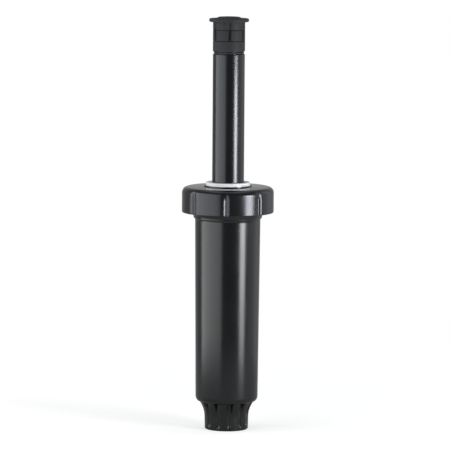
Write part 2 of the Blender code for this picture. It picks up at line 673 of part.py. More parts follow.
def make_nozzle_base(material):
    """Skirt screwed over the riser's neck, with a ported web and the stem that carries the head."""
    profile = [
        (RISER_NECK_RADIUS + SEAT_GAP, SKIRT_Z),
        (NOZZLE_RADIUS, SKIRT_Z),
        (NOZZLE_RADIUS, SKIRT_TOP),
        (STEM_RADIUS, SKIRT_TOP),
        (STEM_RADIUS, STEM_TOP),
        (SCREW_HOLE, STEM_TOP),
        (SCREW_HOLE, WEB_Z),
        (RISER_NECK_RADIUS + SEAT_GAP, WEB_Z),
    ]
    base = turned("nozzle_base", profile, material)
    ring_radius = (STEM_RADIUS + FILTER_BORE) / 2.0
    bm = bmesh.new()
    for i in range(PORT_COUNT):
        spin = Matrix.Rotation(math.tau * i / PORT_COUNT, 4, "Z")
        place = spin @ Matrix.Translation((ring_radius, 0.0, WEB_Z + WEB_THICKNESS / 2.0))
        bmesh.ops.create_cone(bm, cap_ends=True, segments=PORT_SIDES, radius1=PORT_RADIUS,
                              radius2=PORT_RADIUS, depth=2.0 * WEB_THICKNESS, matrix=place)
    combine(base, add_object("nozzle_ports", bm), "DIFFERENCE")
    return base


def cut_grip_slots(piece, depth, bottom, top):
    slots = radial_boxes(piece.name + "_slots", GRIP_SLOTS, GRIP_SLOT_TURN, GRIP_SLOT_WIDTH,
                         NOZZLE_RADIUS - depth, NOZZLE_RADIUS + depth, bottom, top)
    combine(piece, slots, "DIFFERENCE")


def make_arc_collar(material):
    """Sleeve turned by hand to set the arc, with a pocket for its friction ring."""
    pocket_r = COLLAR_BORE + 2.0 * SEAT_GAP + COLLAR_RING_THICKNESS
    pocket_z = SKIRT_TOP + 2.0 * SEAT_GAP + COLLAR_RING_THICKNESS
    profile = [
        (pocket_r, COLLAR_Z),
        (NOZZLE_RADIUS, COLLAR_Z),
        (NOZZLE_RADIUS, COLLAR_TOP),
        (COLLAR_BORE, COLLAR_TOP),
        (COLLAR_BORE, pocket_z),
        (pocket_r, pocket_z),
    ]
    collar = turned("arc_collar", profile, material)
    cut_grip_slots(collar, COLLAR_SLOT_DEPTH, COLLAR_Z + SEAT_GAP, COLLAR_TOP + SEAT_GAP)
    return collar


def make_collar_ring(material):
    return round_ring("collar_ring", COLLAR_BORE + SEAT_GAP, COLLAR_RING_THICKNESS, SKIRT_TOP + SEAT_GAP,
                      material)


def make_deflector(material):
    """Head of the nozzle: a plug on the stem, a spray flange and a boss with the screw's pocket."""
    flange_r = NOZZLE_RADIUS + FLANGE_OVERHANG
    profile = [
        (STEM_RADIUS + SEAT_GAP, DEFLECTOR_Z),
        (NOZZLE_RADIUS, DEFLECTOR_Z),
        (NOZZLE_RADIUS, FLANGE_Z),
        (flange_r - FLANGE_EDGE, FLANGE_Z),
        (flange_r, FLANGE_Z + FLANGE_EDGE),
        (flange_r, FLANGE_TOP - FLANGE_EDGE),
        (flange_r - FLANGE_EDGE, FLANGE_TOP),
        (BOSS_RADIUS, FLANGE_TOP),
        (BOSS_RADIUS - BOSS_SLOPE, BOSS_TOP),
        (SCREW_POCKET_RADIUS, BOSS_TOP),
        (SCREW_POCKET_RADIUS, SCREW_POCKET_Z),
        (SCREW_HOLE, SCREW_POCKET_Z),
        (SCREW_HOLE, STEM_SOCKET_TOP),
        (STEM_RADIUS + SEAT_GAP, STEM_SOCKET_TOP),
    ]
    deflector = turned("deflector", profile, material)
    cut_grip_slots(deflector, DEFLECTOR_SLOT_DEPTH, DEFLECTOR_Z - SEAT_GAP, FLANGE_Z - SEAT_GAP)
    return deflector


def make_filter(material):
    """Basket strainer hung by its flange from the top of the riser's neck."""
    floor = FILTER_TOP - FILTER_LENGTH
    profile = [
        (0.0, floor),
        (FILTER_RADIUS, floor),
        (FILTER_RADIUS, FILTER_FLANGE_Z),
        (RISER_NECK_RADIUS, FILTER_FLANGE_Z),
        (RISER_NECK_RADIUS, FILTER_TOP),
        (FILTER_BORE, FILTER_TOP),
        (FILTER_BORE, floor + FILTER_WALL),
        (0.0, floor + FILTER_WALL),
    ]
    basket = turned("filter_screen", profile, material, SMALL_STEPS)
    windows = radial_boxes("filter_windows", FILTER_WINDOWS, math.pi / SMALL_STEPS, FILTER_WINDOW_WIDTH,
                           FILTER_BORE - FILTER_WALL, FILTER_RADIUS + FILTER_WALL,
                           floor + FILTER_WINDOW_MARGIN, FILTER_FLANGE_Z - FILTER_WINDOW_MARGIN)
    combine(basket, windows, "DIFFERENCE")
    return basket


def make_screw(material):
    """Slotted screw which throttles the water on its way out of the filter."""
    tip = SKIRT_TOP - SCREW_REACH + (SCREW_HEAD_Z - STEM_TOP)
    profile = [
        (0.0, tip),
        (SCREW_RADIUS / 2.0, tip),
        (SCREW_RADIUS, tip + SCREW_RADIUS),
        (SCREW_RADIUS, SCREW_HEAD_Z),
        (SCREW_HEAD_RADIUS, SCREW_HEAD_Z),
        (SCREW_HEAD_RADIUS, SCREW_HEAD_TOP),
        (0.0, SCREW_HEAD_TOP),
    ]
    screw = turned("flow_screw", profile, material, SMALL_STEPS)
    bm = bmesh.new()
    size = (4.0 * SCREW_HEAD_RADIUS, SCREW_SLOT_WIDTH, 2.0 * SCREW_SLOT_DEPTH)
    add_box(bm, size, Matrix.Translation((0.0, 0.0, SCREW_HEAD_TOP)))
    combine(screw, add_object("flow_screw_slot", bm), "DIFFERENCE")
    return screw


def make_screw_seal(material):
    return round_ring("screw_seal", SCREW_RADIUS + SEAT_GAP, SCREW_SEAL_THICKNESS, SCREW_SEAL_Z, material)


def main():
    clear_scene()
    case_black = plastic("case_black", (0.021, 0.022, 0.024), 0.34)
    cap_black = plastic("cap_black", (0.024, 0.025, 0.027), 0.36)
    riser_black = plastic("riser_black", (0.020, 0.021, 0.024), 0.28)
    nozzle_black = plastic("nozzle_black", (0.027, 0.028, 0.031), 0.55)
    inner_grey = plastic("inner_grey", (0.23, 0.24, 0.25), 0.5)
    ring_white = plastic("ring_white", (0.78, 0.79, 0.80), 0.42)
    rubber = plastic("rubber", (0.015, 0.015, 0.016), 0.75)
    steel = plastic("steel", (0.55, 0.55, 0.56), 0.3, 1.0)

    make_case(case_black)
    make_gasket(rubber)
    make_carrier(inner_grey)
    make_wiper_seal(rubber)
    make_guide_ring(ring_white)
    make_spring(steel)
    make_cap(cap_black)
    make_washer(inner_grey)
    make_ratchet_ring(inner_grey)
    make_clip(inner_grey)
    make_riser(riser_black)
    make_nozzle_seal(rubber)
    make_nozzle_base(nozzle_black)
    make_collar_ring(rubber)
    make_arc_collar(nozzle_black)
    make_deflector(nozzle_black)
    make_filter(inner_grey)
    make_screw(steel)
    make_screw_seal(rubber)


main()
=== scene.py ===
import math

import bmesh
import bpy
from mathutils import Matrix, Quaternion, Vector


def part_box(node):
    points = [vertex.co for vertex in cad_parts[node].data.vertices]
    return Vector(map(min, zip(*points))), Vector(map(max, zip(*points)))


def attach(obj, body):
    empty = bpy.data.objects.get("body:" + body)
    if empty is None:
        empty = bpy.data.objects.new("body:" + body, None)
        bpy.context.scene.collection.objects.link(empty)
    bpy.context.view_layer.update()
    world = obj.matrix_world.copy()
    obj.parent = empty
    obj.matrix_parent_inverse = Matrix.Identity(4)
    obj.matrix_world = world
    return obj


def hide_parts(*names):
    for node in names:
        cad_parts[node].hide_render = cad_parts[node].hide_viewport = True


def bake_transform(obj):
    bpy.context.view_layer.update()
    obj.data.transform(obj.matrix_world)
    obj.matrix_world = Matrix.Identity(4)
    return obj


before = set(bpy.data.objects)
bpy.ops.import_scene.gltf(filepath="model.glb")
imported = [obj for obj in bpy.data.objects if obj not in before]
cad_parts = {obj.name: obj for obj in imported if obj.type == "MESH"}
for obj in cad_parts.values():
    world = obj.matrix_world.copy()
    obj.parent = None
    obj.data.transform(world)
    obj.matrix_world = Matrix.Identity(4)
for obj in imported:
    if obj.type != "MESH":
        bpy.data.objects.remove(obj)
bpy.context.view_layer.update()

# Case: the buried body of the head, one black moulding with a slight draft. Its foot is a neck with
# pressed flutes and a tapped bore for the supply pipe, its top a threaded neck for the cap, and four
# ribs down its bore keep the ratchet ring from turning.
MM = 0.001
case_low, case_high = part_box("body_case")
INLET_BASE = 13.45 * MM
INLET_TOP = 13.65 * MM
INLET_STRAIGHT = 7.5 * MM
FLARE_TOP = 17.6 * MM
FLARE_RADIUS = 17.19 * MM
CORNER_TOP = 21.0 * MM
CASE_FLOOR = 19.6 * MM
FLOOR_CORNER = 1.1 * MM
CASE_BOTTOM_RADIUS = 19.39 * MM
CASE_TOP_RADIUS = 20.29 * MM
BARREL_TOP = 130.5 * MM
SHOULDER_RADIUS = 21.49 * MM
SHOULDER_LOW = 132.6 * MM
SHOULDER_DRAFT = 0.25 * MM
SHOULDER_HIGH = 134.3 * MM
NECK_RADIUS = 23.39 * MM
NECK_LOW = 136.5 * MM
NECK_BORE = 20.59 * MM
NECK_STEP_HIGH = 139.0 * MM
NECK_STEP_LOW = 137.4 * MM
BORE_BOTTOM = 17.29 * MM
BORE_TOP = 18.19 * MM
RIBS = 4
RIB_RADIUS = 15.89 * MM
RIB_LOW = 23.0 * MM
PASSAGE_RADIUS = 8.0 * MM
SOCKET_RADIUS = 10.4 * MM
SOCKET_DEPTH = 13.6 * MM
SOCKET_PITCH = 1.814 * MM
CAP_PITCH = 4.0 * MM
CAP_THREAD_START = 137.95 * MM
CAP_THREAD_HEIGHT = 1.2 * MM
FLUTES = 12
FLUTE_FLOOR = 12.65 * MM
FLUTE_LOW = 1.8 * MM
FLUTE_TURN = math.radians(-82.0)


def rounded(corners, steps=5):
    """Profile points from (radius, height, fillet) corners, each corner with a fillet made round."""
    points = []
    for i, (radius, height, fillet) in enumerate(corners):
        here = Vector((radius, height))
        if fillet <= 0.0:
            points.append(here)
            continue
        before = (Vector(corners[i - 1][:2]) - here).normalized()
        after = (Vector(corners[(i + 1) % len(corners)][:2]) - here).normalized()
        half = before.angle(after) / 2.0
        centre = here + (before + after).normalized() * fillet / math.sin(half)
        start = (here + before * fillet / math.tan(half) - centre).normalized()
        end = (here + after * fillet / math.tan(half) - centre).normalized()
        points += [centre + start.slerp(end, k / steps) * fillet for k in range(steps + 1)]
    return points


def filled(points, step):
    """The same line with points added, so that no stretch of it is longer than the step."""
    dense = [Vector(points[0])]
    for near, far in zip(points, points[1:]):
        near, far = Vector(near), Vector(far)
        count = max(1, math.ceil((far - near).length / step))
        dense += [near.lerp(far, k / count) for k in range(1, count + 1)]
    return dense


def turned(name, profile, columns=192, turn=0.0):
    """Smooth solid spun about Z from a loop of (radius, height) points."""
    bm = bmesh.new()
    angles = [turn + math.tau * k / columns for k in range(columns)]
    rings = []
    for radius, height in profile:
        if radius > 0.0:
            spots = [(radius * math.cos(a), radius * math.sin(a), height) for a in angles]
            rings.append([bm.verts.new(spot) for spot in spots])
        else:
            rings.append([bm.verts.new((0.0, 0.0, height))] * columns)
    for near, far in zip(rings, rings[1:] + rings[:1]):
        for k in range(columns):
            after = (k + 1) % columns
            corners = list(dict.fromkeys((near[k], near[after], far[after], far[k])))
            if len(corners) > 2:
                bm.faces.new(corners)
    bmesh.ops.remove_doubles(bm, verts=bm.verts, dist=0.001 * MM)
    bmesh.ops.recalc_face_normals(bm, faces=bm.faces)
    mesh = bpy.data.meshes.new(name)
    bm.to_mesh(mesh)
    bm.free()
    mesh.shade_smooth()
    mesh.set_sharp_from_angle(angle=math.radians(38.0))
    piece = bpy.data.objects.new(name, mesh)
    bpy.context.collection.objects.link(piece)
    return piece


class Wire:
    """A socket of a shader or geometry tree, so that the maths on it reads as a formula."""

    def __init__(self, socket):
        self.socket = socket

    def node(self, kind, settings=None, inputs=None, output=0):
        """A new node in the same tree: its type, settings and inputs; gives one output, or "all"."""
        tree = self.socket.id_data
        made = tree.nodes.new(kind)
        for name, value in (settings or {}).items():
            setattr(made, name, value)
        for name, value in (inputs or {}).items():
            if isinstance(value, Wire):
                tree.links.new(value.socket, made.inputs[name])
            else:
                made.inputs[name].default_value = value
        outputs = [Wire(socket) for socket in made.outputs]
        return outputs if output == "all" else outputs[output]

    def math(self, operation, first, second=0.0, clamp=False):
        settings = {"operation": operation, "use_clamp": clamp}
        return self.node("ShaderNodeMath", settings, {0: first, 1: second})

    def __add__(self, other):
        return self.math("ADD", self, other)

    def __sub__(self, other):
        return self.math("SUBTRACT", self, other)

    def __rsub__(self, other):
        return self.math("SUBTRACT", other, self)

    def __mul__(self, other):
        return self.math("MULTIPLY", self, other)

    def __truediv__(self, other):
        return self.math("DIVIDE", self, other)

    __radd__ = __add__
    __rmul__ = __mul__

    def clamped(self):
        return self.math("ADD", self, 0.0, clamp=True)

    def into(self, node, name):
        self.socket.id_data.links.new(self.socket, node.inputs[name])


def blank_tree(name, sizes):
    """Empty geometry tree with named number inputs; gives the tree, its mesh and its inputs by name."""
    tree = bpy.data.node_groups.new(name, "GeometryNodeTree")
    tree.interface.new_socket("Mesh", in_out="INPUT", socket_type="NodeSocketGeometry")
    for size in sizes:
        tree.interface.new_socket(size, in_out="INPUT", socket_type="NodeSocketFloat")
    tree.interface.new_socket("Material", in_out="INPUT", socket_type="NodeSocketMaterial")
    tree.interface.new_socket("Mesh", in_out="OUTPUT", socket_type="NodeSocketGeometry")
    group = tree.nodes.new("NodeGroupInput")
    return tree, {socket.name: Wire(socket) for socket in group.outputs if socket.name}


def close_tree(tree, mesh, given):
    """Real geometry with its finish on it, handed to the tree's output."""
    real = mesh.node("GeometryNodeRealizeInstances", inputs={"Geometry": mesh})
    done = real.node("GeometryNodeSetMaterial", inputs={"Geometry": real, "Material": given["Material"]})
    done.into(tree.nodes.new("NodeGroupOutput"), "Mesh")


def polar(given):
    """Radius, angle and height of each point, as fields."""
    place = given["Mesh"].node("GeometryNodeInputPosition")
    x, y, z = place.node("ShaderNodeSeparateXYZ", inputs={0: place}, output="all")
    radius = x.math("SQRT", x * x + y * y)
    return x, y, z, radius, x.math("ARCTAN2", y, x)


def moved_out(tree, given, x, y, z, radius, wanted):
    """Move each point to the wanted radius, keeping its angle and height."""
    share = wanted / radius.math("MAXIMUM", radius, 0.001 * MM)
    spot = x.node("ShaderNodeCombineXYZ", inputs={0: x * share, 1: y * share, 2: z})
    mesh = x.node("GeometryNodeSetPosition", inputs={"Geometry": given["Mesh"], "Position": spot})
    close_tree(tree, mesh, given)
    return tree


def groove_tree():
    """Upright grooves or ribs at even steps round the axis, drawn from the wall to a floor radius."""
    tree, given = blank_tree("upright_grooves", (
        "Count", "Turn", "Floor Radius", "Half Width", "Widening", "Side", "Lobe", "Low", "High",
        "Fade Low", "Fade High", "Inner Radius", "Outer Radius"))
    x, y, z, radius, angle = polar(given)
    steps = (angle - given["Turn"]) * given["Count"] / math.tau
    off = x.math("ABSOLUTE", steps - x.math("FLOOR", steps + 0.5)) * math.tau / given["Count"] * radius
    climb = ((z - given["Low"]) / (given["High"] - given["Low"])).clamped()
    half = given["Half Width"] + given["Widening"] * climb
    inside = ((half - off) / given["Side"]).clamped()
    soft = inside * inside * (3.0 - 2.0 * inside)
    cusp = 1.0 - x.math("SQRT", 1.0 - inside * inside)
    shape = soft + (cusp - soft) * given["Lobe"]
    fade_in = ((z - given["Low"]) / given["Fade Low"]).clamped()
    fade = fade_in * ((given["High"] - z) / given["Fade High"]).clamped()
    beyond = x.math("GREATER_THAN", radius, given["Inner Radius"])
    wall = beyond * x.math("LESS_THAN", radius, given["Outer Radius"])
    wanted = radius - (radius - given["Floor Radius"]) * shape * fade * wall
    return moved_out(tree, given, x, y, z, radius, wanted)


def thread_tree():
    """Right-hand screw thread raised on a round wall; a negative height raises it into a bore."""
    tree, given = blank_tree("screw_thread", (
        "Start", "Pitch", "Root Width", "Crest Width", "Height", "Low", "High", "Fade",
        "Inner Radius", "Outer Radius"))
    x, y, z, radius, angle = polar(given)
    turns = (z - given["Start"]) / given["Pitch"] - angle / math.tau
    off = x.math("ABSOLUTE", turns - x.math("FLOOR", turns + 0.5)) * given["Pitch"]
    rise = ((given["Root Width"] - 2.0 * off) / (given["Root Width"] - given["Crest Width"])).clamped()
    fade = ((z - given["Low"]) / given["Fade"]).clamped() * ((given["High"] - z) / given["Fade"]).clamped()
    beyond = x.math("GREATER_THAN", radius, given["Inner Radius"])
    wall = beyond * x.math("LESS_THAN", radius, given["Outer Radius"])
    return moved_out(tree, given, x, y, z, radius, radius + given["Height"] * rise * fade * wall)


def shaped(piece, tree, finish, **sizes):
    """Run a geometry tree on a piece and keep the result as its plain mesh."""
    modifier = piece.modifiers.new(tree.name, "NODES")
    modifier.node_group = tree
    wanted = {name.replace("_", " ").title(): value for name, value in sizes.items()}
    for item in tree.interface.items_tree:
        if item.in_out == "INPUT" and item.name in wanted:
            modifier[item.identifier] = float(wanted[item.name])
        elif item.in_out == "INPUT" and item.name == "Material":
            modifier[item.identifier] = finish
    graph = bpy.context.evaluated_depsgraph_get()
    mesh = bpy.data.meshes.new_from_object(piece.evaluated_get(graph))
    piece.modifiers.clear()
    piece.data = mesh
    mesh.materials.clear()
    mesh.materials.append(finish)
    return piece


def blank_finish(name):
    """New material; gives it, its shader node and the piece's own coordinates."""
    finish = bpy.data.materials.new(name)
    finish.use_nodes = True
    shader = finish.node_tree.nodes["Principled BSDF"]
    return finish, shader, Wire(finish.node_tree.nodes.new("ShaderNodeTexCoord").outputs["Object"])


def noise(place, scale, detail=3.0, stretch=(1.0, 1.0, 1.0)):
    spread = place.node("ShaderNodeVectorMath", {"operation": "MULTIPLY"}, {0: place, 1: stretch})
    return place.node("ShaderNodeTexNoise", inputs={"Vector": spread, "Scale": scale, "Detail": detail})


def mixed(factor, first, second):
    ends = {0: factor, 6: (*first, 1.0), 7: (*second, 1.0)}
    return factor.node("ShaderNodeMix", {"data_type": "RGBA"}, ends, output=2)


def plastic(name, dark, light, gloss, grain_size, grain_depth, marks=0.0, shine=0.5, polished_above=1.0,
            cast=(1.0, 1.0, 1.0)):
    """Moulded plastic: clouded colour, uneven gloss, the mould's fine grain and upright draw marks."""
    finish, shader, place = blank_finish(name)
    cloud = noise(place, 45.0)
    grain = noise(place, 1.0 / grain_size, 2.0)
    drawn = noise(place, 900.0, 2.0, (1.0, 1.0, 0.02))
    mixed((cloud * 0.7 + grain * 0.3).clamped(), dark, light).into(shader, "Base Color")
    uneven = gloss + (cloud - 0.5) * 0.12 + (grain - 0.5) * 0.08 + (drawn - 0.5) * marks
    level = place.node("ShaderNodeSeparateXYZ", inputs={0: place}, output=2)
    polish = 1.0 - 0.75 * ((level - polished_above) / MM).clamped()
    (uneven * polish).clamped().into(shader, "Roughness")
    height = grain + drawn * marks
    relief = {"Strength": 0.35, "Distance": grain_depth, "Height": height}
    place.node("ShaderNodeBump", inputs=relief).into(shader, "Normal")
    shader.inputs["IOR"].default_value = 1.5
    shader.inputs["Specular IOR Level"].default_value = shine
    shader.inputs["Specular Tint"].default_value = (*cast, 1.0)
    return finish


def placed(piece, body, slot, *nodes):
    """Tie a finished piece to its body and hide the CAD nodes that it stands for. The slot is not used."""
    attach(piece, body)
    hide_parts(*nodes)


grooves = groove_tree()
threads = thread_tree()
case_finish = plastic("case_black_plastic", (0.0045, 0.0048, 0.0053), (0.0080, 0.0083, 0.0090),
                      0.22, 0.35 * MM, 0.010 * MM)
flare_reach = FLARE_RADIUS - INLET_TOP
flare_rise = FLARE_TOP - INLET_STRAIGHT
flare_bend = (flare_rise ** 2 + flare_reach ** 2) / (2.0 * flare_reach)
flare_sweep = math.asin(flare_rise / flare_bend)
foot_edge = 0.4 * MM
inlet_side = filled([
    (INLET_BASE - foot_edge, 0.0),
    (INLET_BASE, foot_edge),
    (INLET_TOP, INLET_STRAIGHT),
], 0.4 * MM)
flare = [
    (INLET_TOP + flare_bend * (1.0 - math.cos(flare_sweep * i / 24)),
     INLET_STRAIGHT + flare_bend * math.sin(flare_sweep * i / 24))
    for i in range(1, 25)
]
corner = [
    (FLARE_RADIUS + (CASE_BOTTOM_RADIUS - FLARE_RADIUS) * math.sin(math.pi * i / 20),
     FLARE_TOP + (CORNER_TOP - FLARE_TOP) * (1.0 - math.cos(math.pi * i / 20)))
    for i in range(1, 11)
]
cove_reach = SHOULDER_RADIUS - SHOULDER_DRAFT - CASE_TOP_RADIUS
cove = [
    (CASE_TOP_RADIUS + cove_reach * (1.0 - math.cos(math.pi * i / 20)),
     BARREL_TOP + (SHOULDER_LOW - BARREL_TOP) * math.sin(math.pi * i / 20))
    for i in range(11)
]
rim_edge = 0.4 * MM
neck_side = filled([(NECK_RADIUS, NECK_LOW), (NECK_RADIUS, case_high.z - rim_edge)], 0.22 * MM)
rib_edge = 0.5 * MM
socket_side = filled([(SOCKET_RADIUS, SOCKET_DEPTH), (SOCKET_RADIUS, 0.5 * MM)], 0.15 * MM)
case_profile = (
    inlet_side + flare + corner + cove
    + [(SHOULDER_RADIUS, SHOULDER_HIGH)]
    + neck_side
    + [(NECK_RADIUS - rim_edge, case_high.z), (NECK_BORE + rim_edge, case_high.z)]
    + [(NECK_BORE, case_high.z - rim_edge), (NECK_BORE, NECK_STEP_HIGH), (BORE_TOP, NECK_STEP_LOW)]
    + [(BORE_TOP, BARREL_TOP + rib_edge), (BORE_TOP, BARREL_TOP), (BORE_TOP, BARREL_TOP - rib_edge)]
    + [(BORE_BOTTOM, RIB_LOW + rib_edge), (BORE_BOTTOM, RIB_LOW), (BORE_BOTTOM, CORNER_TOP)]
    + [(BORE_BOTTOM - FLOOR_CORNER, CASE_FLOOR), (PASSAGE_RADIUS, CASE_FLOOR)]
    + [(PASSAGE_RADIUS, SOCKET_DEPTH)]
    + socket_side
    + [(SOCKET_RADIUS + 0.5 * MM, 0.0)]
)
case = turned("case", case_profile, 240, FLUTE_TURN)
shaped(case, grooves, case_finish, count=FLUTES, turn=FLUTE_TURN, floor_radius=FLUTE_FLOOR,
       half_width=1.0 * MM, widening=1.1 * MM, side=0.6 * MM, lobe=0.0, low=FLUTE_LOW, high=FLARE_TOP,
       fade_low=1.2 * MM, fade_high=0.5 * MM, inner_radius=FLUTE_FLOOR, outer_radius=CASE_BOTTOM_RADIUS)
shaped(case, grooves, case_finish, count=RIBS, turn=math.pi / RIBS, floor_radius=RIB_RADIUS,
       half_width=1.3 * MM, widening=0.0, side=0.4 * MM, lobe=0.0, low=RIB_LOW, high=BARREL_TOP,
       fade_low=rib_edge, fade_high=rib_edge, inner_radius=RIB_RADIUS, outer_radius=BORE_TOP + 0.1 * MM)
shaped(case, threads, case_finish, start=CAP_THREAD_START, pitch=CAP_PITCH,
       root_width=1.7 * MM, crest_width=0.7 * MM, height=CAP_THREAD_HEIGHT,
       low=NECK_LOW + 0.5 * MM, high=case_high.z - rim_edge, fade=1.0 * MM,
       inner_radius=NECK_RADIUS - 0.1 * MM, outer_radius=NECK_RADIUS + 0.1 * MM)
shaped(case, threads, case_finish, start=2.3 * MM, pitch=SOCKET_PITCH,
       root_width=1.4 * MM, crest_width=0.3 * MM, height=-1.1 * MM,
       low=0.7 * MM, high=SOCKET_DEPTH - 0.7 * MM, fade=1.0 * MM,
       inner_radius=SOCKET_RADIUS - 0.1 * MM, outer_radius=SOCKET_RADIUS + 0.1 * MM)
placed(case, "case", "case_black", "body_case")

# Cap gasket: a flat ring of black rubber laid loose on the case's rim, cut from sheet and squeezed when
# the cap is screwed down. It is hidden while the cap is on.


def rubber(name):
    """Soft black rubber with a dull bloom and a fine, uneven skin."""
    finish, shader, place = blank_finish(name)
    bloom = noise(place, 120.0)
    skin = noise(place, 2200.0, 2.0)
    mixed(bloom, (0.008, 0.008, 0.009), (0.022, 0.022, 0.024)).into(shader, "Base Color")
    (0.62 + bloom * 0.25).clamped().into(shader, "Roughness")
    relief = {"Strength": 0.3, "Distance": 0.03 * MM, "Height": skin}
    place.node("ShaderNodeBump", inputs=relief).into(shader, "Normal")
    return finish


def kept(node, finish):
    """Show a CAD node with its own mesh and a finish."""
    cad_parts[node].data.materials.clear()
    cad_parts[node].data.materials.append(finish)


rubber_finish = rubber("black_rubber")
kept("cap_gasket", rubber_finish)

# Seal carrier: a flanged cup of grey plastic, clamped between the cap and the gasket. It holds the wiper
# seal and seats the top of the spring.
grey_finish = plastic("grey_plastic", (0.17, 0.175, 0.18), (0.24, 0.245, 0.255), 0.45, 0.3 * MM, 0.02 * MM)
kept("seal_carrier", grey_finish)

# Wiper seal: a moulded rubber lip ring in the carrier's cup, which keeps water in and grit off the stem.
kept("wiper_seal", rubber_finish)

# Guide ring: white acetal ring in the cap's mouth, the bearing that the stem slides in. It is turned, with
# a broken edge, and a flange under the cap holds it in.
ring_low, ring_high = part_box("guide_ring")
GUIDE_BORE = 10.2 * MM
GUIDE_RADIUS = 13.7 * MM
GUIDE_FLANGE = ring_high.x
GUIDE_FLANGE_TOP = ring_low.z + 0.8 * MM


def acetal(name):
    """White slippery plastic with faint turning marks and a little dust in its lows."""
    finish, shader, place = blank_finish(name)
    dust = noise(place, 260.0, 4.0)
    turning = noise(place, 1.0, 2.0, (30.0, 30.0, 5000.0))
    dusty = (dust * 1.6 - 0.5).clamped()
    mixed(dusty, (0.84, 0.845, 0.855), (0.72, 0.725, 0.72)).into(shader, "Base Color")
    (0.34 + (turning - 0.5) * 0.15 + dust * 0.1).clamped().into(shader, "Roughness")
    relief = {"Strength": 0.2, "Distance": 0.02 * MM, "Height": turning}
    place.node("ShaderNodeBump", inputs=relief).into(shader, "Normal")
    return finish


guide = turned("guide", rounded([
    (GUIDE_BORE, ring_low.z, 0.2 * MM),
    (GUIDE_FLANGE, ring_low.z, 0.2 * MM),
    (GUIDE_FLANGE, GUIDE_FLANGE_TOP, 0.2 * MM),
    (GUIDE_RADIUS, GUIDE_FLANGE_TOP, 0.0),
    (GUIDE_RADIUS, ring_high.z, 0.45 * MM),
    (GUIDE_BORE, ring_high.z, 0.35 * MM),
]))
guide.data.materials.append(acetal("white_acetal"))
placed(guide, "top_set", "ring_white", "guide_ring")

# Retraction spring: stainless wire coiled on a mandrel, squeezed between the washer on the stem's foot and
# the carrier. It pulls the stem down when the water is shut off.
spring_low, spring_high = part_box("retraction_spring")
WIRE_RADIUS = 0.5 * MM
COILS = 9.0


def coil_tree():
    """Round wire on a rising circle."""
    tree, given = blank_tree("coiled_wire", ("Radius", "Wire", "Coils", "Base", "Rise"))
    line = given["Mesh"].node("GeometryNodeCurveSpiral", inputs={
        "Resolution": 64, "Rotations": given["Coils"], "Start Radius": given["Radius"],
        "End Radius": given["Radius"], "Height": given["Rise"]})
    ring = line.node("GeometryNodeCurvePrimitiveCircle", inputs={"Resolution": 14, "Radius": given["Wire"]})
    wire = line.node("GeometryNodeCurveToMesh", inputs={
        "Curve": line, "Profile Curve": ring, "Fill Caps": True})
    lift = line.node("ShaderNodeCombineXYZ", inputs={2: given["Base"]})
    raised = line.node("GeometryNodeSetPosition", inputs={"Geometry": wire, "Offset": lift})
    smooth = line.node("GeometryNodeSetShadeSmooth", inputs={"Geometry": raised, "Shade Smooth": True})
    close_tree(tree, smooth, given)
    return tree


def steel(name):
    """Stainless steel with fine drawing lines and dull patches."""
    finish, shader, place = blank_finish(name)
    lines = noise(place, 1500.0, 2.0)
    patch = noise(place, 180.0)
    mixed(patch, (0.46, 0.46, 0.47), (0.62, 0.62, 0.63)).into(shader, "Base Color")
    (0.2 + lines * 0.15 + patch * 0.1).clamped().into(shader, "Roughness")
    relief = {"Strength": 0.2, "Distance": 0.01 * MM, "Height": lines}
    place.node("ShaderNodeBump", inputs=relief).into(shader, "Normal")
    shader.inputs["Metallic"].default_value = 1.0
    return finish


steel_finish = steel("stainless_steel")
spring = bpy.data.objects.new("spring", bpy.data.meshes.new("spring"))
bpy.context.collection.objects.link(spring)
shaped(spring, coil_tree(), steel_finish, radius=spring_high.x - WIRE_RADIUS, wire=WIRE_RADIUS, coils=COILS,
       base=spring_low.z + WIRE_RADIUS, rise=spring_high.z - spring_low.z - 2.0 * WIRE_RADIUS)
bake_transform(spring)
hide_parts("retraction_spring")

# Cap: the black moulded lid that screws on the case and clamps the seal. Eight round-ended lobes make its
# grip. Its shoulder is round, its polished top is slightly crowned, and a low collar stands round its
# mouth.
cap_low, cap_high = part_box("cap")
CAP_RADIUS = min(cap_high.x, cap_high.y, -cap_low.x, -cap_low.y)
CAP_TOP = 151.6 * MM
CAP_CROWN = 0.6 * MM
CAP_COLLAR_TOP = 152.8 * MM
CAP_CEILING = 149.5 * MM
CAP_BORE = 24.89 * MM
CAP_SEAT = 148.4 * MM
CAP_STEP = 16.6 * MM
CAP_MOUTH = 14.0 * MM
CAP_COLLAR = 15.0 * MM
CAP_FILLET = 3.6 * MM
CAP_LOBES = 8
LOBE_TURN = math.radians(-92.5)
NOTCH_DEPTH = 1.2 * MM
NOTCH_HALF_WIDTH = 2.6 * MM
NOTCH_TOP = CAP_TOP - 0.5 * MM

BLUE_CAST = (0.92, 0.935, 1.0)
cap_finish = plastic("cap_black_plastic", (0.0055, 0.0058, 0.0063), (0.0092, 0.0095, 0.0102),
                     0.24, 0.4 * MM, 0.010 * MM, polished_above=CAP_TOP - 0.4 * MM, cast=BLUE_CAST)
cap_outside = rounded([
    (CAP_BORE, cap_low.z, 0.3 * MM),
    (CAP_RADIUS, cap_low.z, 0.6 * MM),
    (CAP_RADIUS, CAP_TOP, CAP_FILLET),
    (CAP_COLLAR, CAP_TOP + CAP_CROWN, 0.1 * MM),
    (CAP_COLLAR, CAP_COLLAR_TOP, 0.2 * MM),
    (CAP_MOUTH, CAP_COLLAR_TOP, 0.1 * MM),
    (CAP_MOUTH, CAP_CEILING, 0.0),
    (CAP_STEP, CAP_CEILING, 0.0),
    (CAP_STEP, CAP_SEAT, 0.0),
    (CAP_BORE, CAP_SEAT, 0.0),
], 10)
